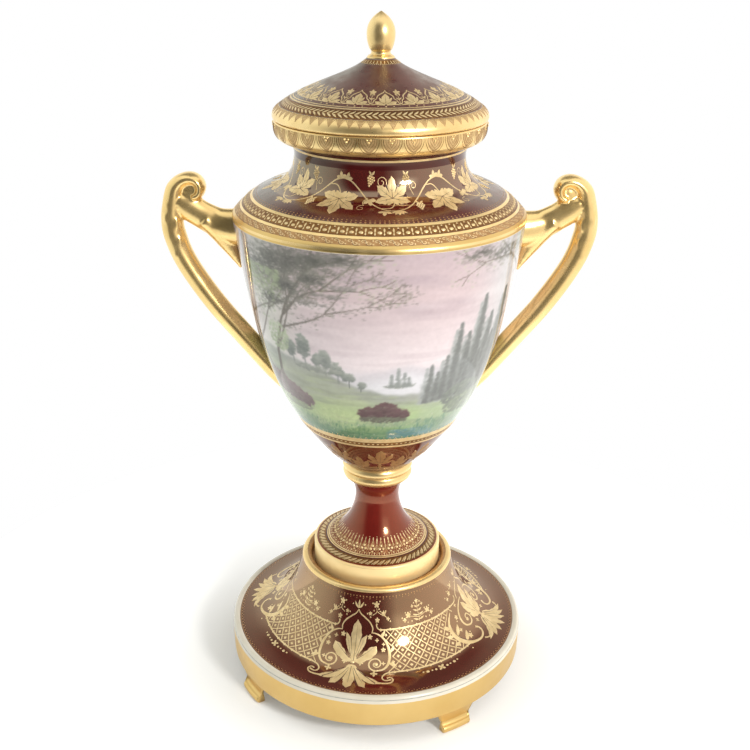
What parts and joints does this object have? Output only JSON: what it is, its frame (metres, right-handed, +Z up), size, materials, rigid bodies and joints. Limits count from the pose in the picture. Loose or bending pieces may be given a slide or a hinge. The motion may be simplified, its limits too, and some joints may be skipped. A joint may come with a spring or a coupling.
{
  "type": "covered mantel urn on stand",
  "caption": "Hollow porcelain urn with a lift-off domed lid, two scrolled gilt handles and a pedestal foot, set in the socket of a low round footed stand.",
  "frame": {"origin": "on the ground under the urn's axis, at the undersides of the bracket feet", "axes": "+Z up along the urn's axis, the two handles along +X and -X, the side seen from the front towards -Y"},
  "size_m": [0.2444, 0.1846, 0.4018],
  "materials": {
    "maroon_glaze": "deep maroon porcelain glaze, glossy, with gold ornament",
    "painted_glaze": "overglaze landscape painting under a clear gloss",
    "gilding": "burnished and satin gilding",
    "ivory_glaze": "plain ivory glaze"
  },
  "bodies": {
    "root": {"stand": "maroon_glaze", "foot": "maroon_glaze", "body": "painted_glaze", "lid": "maroon_glaze"}
  },
  "joints": []
}
